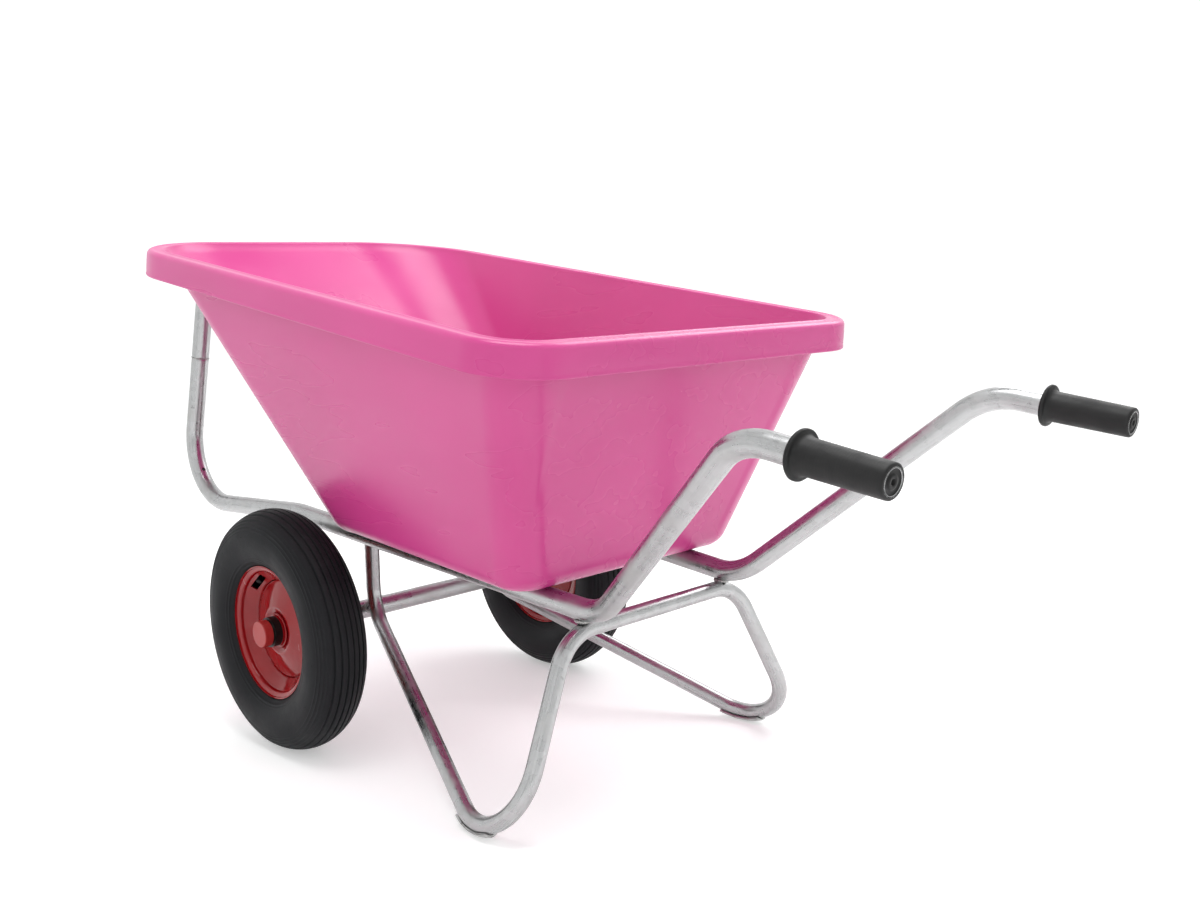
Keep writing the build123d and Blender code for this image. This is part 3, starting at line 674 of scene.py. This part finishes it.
def tyre_section():
    """Half the flank as two arcs, mirrored, with raised rings on it and a grooved tread.

    The tread's arc is lowered by a smooth step either side of each groove's middle.
    """
    low = arc_through(BEAD_OUTSIDE[-1], (43.5, 131.0), WIDEST, 46)[:-1]
    high = arc_through(WIDEST, (42.6, 174.5), SHOULDER, 60)[:-1]
    flank = np.vstack([low, high])
    middle = np.array([0.0, 153.0])
    outward = unit(flank - middle)
    rings = [(118.5, 1.2, 1.1), (123.0, 0.7, 0.8), (171.0, 0.8, 0.7), (176.5, 1.0, 0.9),
             (182.0, 1.1, 0.9), (187.0, 1.1, 0.8)]
    height = sum(h * np.exp(-((flank[:, 1] - r) / w) ** 2) for r, w, h in rings)
    widest_now = flank[:, 0] + outward[:, 0] * height
    height = np.where(widest_now > WIDEST[0], 0.0, height)
    flank = flank + outward * height[:, None]
    tread = arc_through(SHOULDER, (0.0, CROWN_R), (-SHOULDER[0], SHOULDER[1]), 190)
    gap = np.abs(tread[:, :1] - GROOVES[None]).min(1)
    cut = np.clip((1.9 - gap) / 0.9, 0, 1)
    tread[:, 1] -= 3.0 * cut * cut * (3 - 2 * cut)
    bead = np.array(BEAD_OUTSIDE[:-1])
    outer = np.vstack([bead, flank, tread, (flank * (-1, 1))[::-1], (bead * (-1, 1))[::-1]])
    inner_low = arc_through((-17.0, 111.0), (-34.5, 128.0), (-40.0, 153.0), 12)
    inner_top = arc_through((-40.0, 153.0), (0.0, 190.0), (40.0, 153.0), 30)[1:-1]
    inner_end = arc_through((40.0, 153.0), (34.5, 128.0), (17.0, 111.0), 12)
    return np.vstack([outer, inner_low, inner_top, inner_end])


def wheel_middle(sign):
    return np.array([sign * WHEEL_X / MM, 0.0, AXLE_Z / MM])


for side_name, sign in SIDES.items():
    tyre = lathe(f"{side_name}_ribbed_tyre", tyre_section(), wheel_middle(sign), (sign, 0, 0), 200)
    fit(tyre, TYRE, "tyre_rubber", f"{side_name}_wheel", f"{side_name}_tyre")

# ---- grips -----------------------------------------------------------------------------

GRIP_LENGTH = 114.0


def grip_section():
    """Collar, swept neck, sleeve with a slight taper, round shoulder, end ring and eye."""
    collar = [(0.0, 16.2), (0.0, 25.5), (0.5, 27.0), (1.8, 28.0), (4.2, 28.0), (5.5, 27.0),
              (6.0, 25.5)]
    neck = [(6.1, 24.0), (6.8, 22.7), (8.5, 21.6), (11.0, 20.8), (14.0, 20.5)]
    x = np.linspace(16.0, 110.0, 60)
    ripple = 0.1 * np.cos((x - 16.0) * 2 * math.pi / 4.0)
    sleeve = np.column_stack([x, 20.5 - (x - 16.0) / 94.0 - 0.1 + ripple])
    end = [(112.4, 19.2), (113.6, 18.2), (114.0, 16.6), (114.0, 14.4), (113.6, 14.0), (112.6, 13.8)]
    end += [(112.5, 9.0), (112.8, 8.2), (113.9, 7.9), (114.0, 6.0), (114.0, 4.0), (113.6, 3.5)]
    end += [(104.0, 3.4), (103.0, 0.6)]
    return np.vstack([collar, neck, sleeve, end])


for side_name, sign in SIDES.items():
    end, bend = other_side(GRIP_END, sign), other_side(UPPER_BEND, sign)
    outward = unit(end - bend)
    section = np.vstack([[(0.0, 0.5)], grip_section()])
    grip = lathe(f"{side_name}_moulded_grip", section, end - outward * GRIP_LENGTH, outward, 96,
                 closed=False)
    fit(grip, GRIP, "grip_rubber", "frame", f"{side_name}_grip")

# ---- welds, painted hole shade and mould marks --------------------------------------------


def weld_loop(name, middle, normal, long_way, reach, bead, ripples, sides=96):
    """A bead laid in an oval: an oval path, plus a round section whose radius has ripples."""
    normal = unit(np.asarray(normal, float))
    long_way = np.asarray(long_way, float)
    long_way = unit(long_way - (long_way @ normal) * normal)
    short_way = np.cross(normal, long_way)
    theta = np.linspace(0, 2 * math.pi, sides, endpoint=False)[None, :, None]
    phi = np.linspace(0, 2 * math.pi, 12, endpoint=False)[:, None, None]
    out = np.cos(theta) * long_way + np.sin(theta) * short_way
    path = reach[0] * np.cos(theta) * long_way + reach[1] * np.sin(theta) * short_way
    thick = bead * (1 + 0.13 * np.cos(ripples * theta) + 0.10 * np.sin(3 * theta + middle[0]))
    grid = middle + path + thick * (np.cos(phi) * out + np.sin(phi) * normal)
    return surface(name, in_frame(grid), closed=True)


def nearest(path, line_point, line_dir):
    """The path's point and the straight line's point that lie closest to each other."""
    line_dir = unit(np.asarray(line_dir, float))
    gap = path - line_point
    along = (gap @ line_dir)[:, None] * line_dir
    k = np.argmin(np.linalg.norm(gap - along, axis=1))
    return path[k], line_point + along[k]


LEG_CROSS_Y, LEG_CROSS_Z = LEG_CORNERS[3][1:]


def half_leg():
    top, axle_corner, foot, cross = (np.array(c, float) for c in LEG_CORNERS)
    return bent_path([top, axle_corner, foot, cross, cross * (0, 1, 1)], LEG_RADII, 1.0)


def rail_crossing():
    """Where the floor run of a rail passes over the leg tube's cross piece."""
    low, high = np.array(LOW_BEND), np.array(FLOOR_END_BEND)
    return low + (high - low) * (LEG_CROSS_Y - low[1]) / (high[1] - low[1])


RAIL_RUN = unit(np.array(FLOOR_END_BEND) - np.array(LOW_BEND))
TOP_RUN = unit(np.array(LEG_CORNERS[1]) - np.array(LEG_CORNERS[0]))
cross = rail_crossing()
cross_contact = np.array([cross[0], LEG_CROSS_Y, (cross[2] - RAIL_R + LEG_CROSS_Z + LEG_R) / 2])
on_leg, on_axle = nearest(half_leg(), np.array([0.0, 0.0, AXLE_Z / MM]), ACROSS)
axle_normal = unit(on_leg - on_axle)
axle_contact = on_axle + axle_normal * AXLE_TUBE_R
top_middle = np.array(LEG_CORNERS[0]) + TOP_RUN * 4.0
seam = seam_point()
UPRIGHT = unit(np.array(HOOP_CORNER) - np.array(FRONT_BEND))

for side_name, sign in SIDES.items():
    beads = [
        ("cross_tube_weld", cross_contact, (0, 0, 1), RAIL_RUN, (10.5, 8.5), 2.5, 17),
        ("axle_tube_weld", axle_contact, axle_normal, ACROSS, (11.0, 8.0), 2.6, 19),
        ("leg_top_weld", top_middle, TOP_RUN, AHEAD, (13.2, 13.2), 2.2, 23),
        ("hoop_seam_weld", seam, UPRIGHT, AHEAD, (RAIL_R - 0.4, RAIL_R - 0.4), 1.1, 31),
    ]
    for label, middle, normal, long_way, reach, bead, ripples in beads:
        flip = (sign, 1.0, 1.0)
        weld = weld_loop(f"{side_name}_{label}", middle * flip, np.multiply(normal, flip),
                         np.multiply(long_way, flip), reach, bead, ripples)
        if label == "cross_tube_weld" and sign > 0:
            fit(weld, WELD, "galvanised_tube", "frame", "crossing_rods")
        else:
            fit(weld, WELD, "galvanised_tube", "frame")

HUB_WELD_X, HUB_WELD_R = 12.6, 27.0
for side_name, sign in SIDES.items():
    middle = wheel_middle(sign) + np.array([sign * HUB_WELD_X, 0.0, 0.0])
    hub_weld = weld_loop(f"{side_name}_hub_weld", middle, ACROSS, AHEAD,
                         (HUB_WELD_R, HUB_WELD_R), 1.9, 37)
    fit(hub_weld, ENAMEL, "rim_red", f"{side_name}_wheel")


VENT_Z = 403.0


def vent_hole_shade_disc(side_name, sign):
    """Painted shade for a drilled hole inside the front bend: a low dark lens with its rim flush with the tube."""
    path = bent_path([FLOOR_END_BEND, FRONT_BEND, seam_point()], RAIL_RADII[3:], 1.0)
    k = np.argmin(np.abs(path[:, 2] - VENT_Z) + 1000 * (path[:, 1] < FRONT_BEND[1] - 120))
    along = unit(path[k + 1] - path[k - 1])
    outward = -unit(AHEAD - (along @ AHEAD) * along)
    flip = np.array([sign, 1.0, 1.0])
    section = [(-1.0, 3.4), (-0.12, 3.4), (0.10, 3.0), (0.16, 2.0), (0.18, 1.0), (0.18, 0.3)]
    return lathe(f"{side_name}_vent_hole_shade_disc", section,
                 (path[k] + outward * RAIL_R) * flip, outward * flip, 32, closed=False)


# dark discs of painted shade stand for the vent holes inside the front bends
for side_name, sign in SIDES.items():
    fit(vent_hole_shade_disc(side_name, sign), HOLE_SHADE, "galvanised_tube", "frame")

NUB_RINGS = [(128.0, 41.9, 22, 0.05), (160.0, 46.8, 26, 0.12), (184.0, 36.6, 30, 0.0)]


def mould_nubs(side_name, sign):
    """Rubber whiskers: six-sided cones standing out of the flanks, as one array of points."""
    blocks = []
    for radius, half, count, shift in NUB_RINGS:
        angle = np.linspace(0, 2 * math.pi, count, endpoint=False) + shift
        for face in (-1.0, 1.0):
            spoke = np.stack([0 * angle, np.cos(angle), np.sin(angle)], -1)
            foot = spoke * radius + ACROSS * face * (half - 1.6)
            lean = unit(ACROSS * face + spoke * 0.35)
            phi = np.linspace(0, 2 * math.pi, 6, endpoint=False)[None, :, None]
            round_it = np.cos(phi) * np.cross(lean, spoke)[:, None]
            round_it = round_it + np.sin(phi) * np.cross(lean, np.cross(lean, spoke))[:, None]
            tip = foot + lean * 2.4
            rings = [foot[:, None] + 0.75 * round_it, foot[:, None] + lean[:, None] * 1.8
                     + 0.55 * round_it, foot[:, None], tip[:, None]]
            blocks.append(np.concatenate(rings, 1))
    points = np.concatenate(blocks)
    k = np.arange(6)
    n = (k + 1) % 6
    walls = np.stack([k, n, n + 6, k + 6], 1)
    tops = np.stack([k + 6, n + 6, 0 * k + 13], 1)
    bases = np.stack([n, k, 0 * k + 12], 1)
    start = np.arange(len(points))[:, None, None] * 14
    faces = [face for part in (walls, tops, bases)
             for face in (start + part[None]).reshape(-1, part.shape[1]).tolist()]
    name = f"{side_name}_mould_nubs"
    mesh = bpy.data.meshes.new(name)
    where = in_frame(points.reshape(-1, 3) + wheel_middle(sign))
    mesh.from_pydata(where.tolist(), [], faces)
    piece = bpy.data.objects.new(name, mesh)
    bpy.context.scene.collection.objects.link(piece)
    return piece


for side_name, sign in SIDES.items():
    fit(mould_nubs(side_name, sign), TYRE, "tyre_rubber", f"{side_name}_wheel")

# ---- studio --------------------------------------------------------------------------------

FLOOR_REACH, FLOOR_BEND = 6.0, 3.0


def studio():
    """A round pale floor that curves up at its edge, a dim world and three soft lamps."""
    bend = np.linspace(0, math.pi / 2, 24)
    curve = FLOOR_REACH + FLOOR_BEND * np.sin(bend)
    reach = np.concatenate([[1.0], curve, [FLOOR_REACH + FLOOR_BEND]])
    height = np.concatenate([[0.0], FLOOR_BEND - FLOOR_BEND * np.cos(bend), [14.0]]) - 0.0005
    turn = np.linspace(0, 2 * math.pi, 96, endpoint=False)[None, :]
    grid = np.stack([reach[:, None] * np.cos(turn), reach[:, None] * np.sin(turn),
                     height[:, None] + 0 * turn], -1)
    floor = surface("studio_floor", grid, pole_first=True)
    f = Finish("pale_floor", Roughness=0.75, Specular_IOR_Level=0.1,
               Emission_Color=(1, 1, 1, 1), Emission_Strength=0.36)
    floor.data.materials.append(f.connect(Base_Color=f.mix(
        f.noise(f.place(), 0.8, 2.0), (0.80, 0.80, 0.80, 1), (0.82, 0.82, 0.82, 1))))
    world = bpy.data.worlds.new("studio_world")
    world.use_nodes = True
    world.node_tree.nodes["Background"].inputs["Color"].default_value = (1, 1, 1, 1)
    world.node_tree.nodes["Background"].inputs["Strength"].default_value = 0.22
    bpy.context.scene.world = world
    lamps = [("over_lamp", (-0.3, -0.3, 3.4), (0, 0.2, 0.5), 2.2, 72),
             ("far_side_lamp", (2.5, 0.0, 2.9), (0, 0.3, 0.6), 2.4, 52),
             ("near_lamp", (-3.4, -2.2, 2.0), (0, 0, 0.4), 2.0, 2)]
    for name, place, aim, size, power in lamps:
        data = bpy.data.lights.new(name, "AREA")
        data.shape, data.size, data.energy = "DISK", size, power
        lamp = bpy.data.objects.new(name, data)
        lamp.location = place
        lamp.rotation_euler = (Vector(aim) - Vector(place)).to_track_quat("-Z", "Y").to_euler()
        bpy.context.scene.collection.objects.link(lamp)


def camera():
    """Placed by its position, heading, pitch and roll."""
    yaw, pitch, roll = (math.radians(a) for a in (45.987, -7.894, -1.773))
    ahead = Vector((math.cos(yaw) * math.cos(pitch), math.sin(yaw) * math.cos(pitch),
                    math.sin(pitch)))
    level = Vector((math.sin(yaw), -math.cos(yaw), 0))
    upright = level.cross(ahead)
    right = level * math.cos(roll) + upright * math.sin(roll)
    up = -level * math.sin(roll) + upright * math.cos(roll)
    data = bpy.data.cameras.new("studio_camera")
    data.lens, data.sensor_width = 36.456, 36.0
    made = bpy.data.objects.new("studio_camera", data)
    turn = Matrix((right, up, -ahead)).transposed().to_4x4()
    made.matrix_world = Matrix.Translation((-1.26611, -1.76895 + AXLE_Y, 0.75103)) @ turn
    bpy.context.scene.collection.objects.link(made)
    bpy.context.scene.camera = made


studio()
camera()
bpy.context.scene.view_settings.view_transform = "Standard"
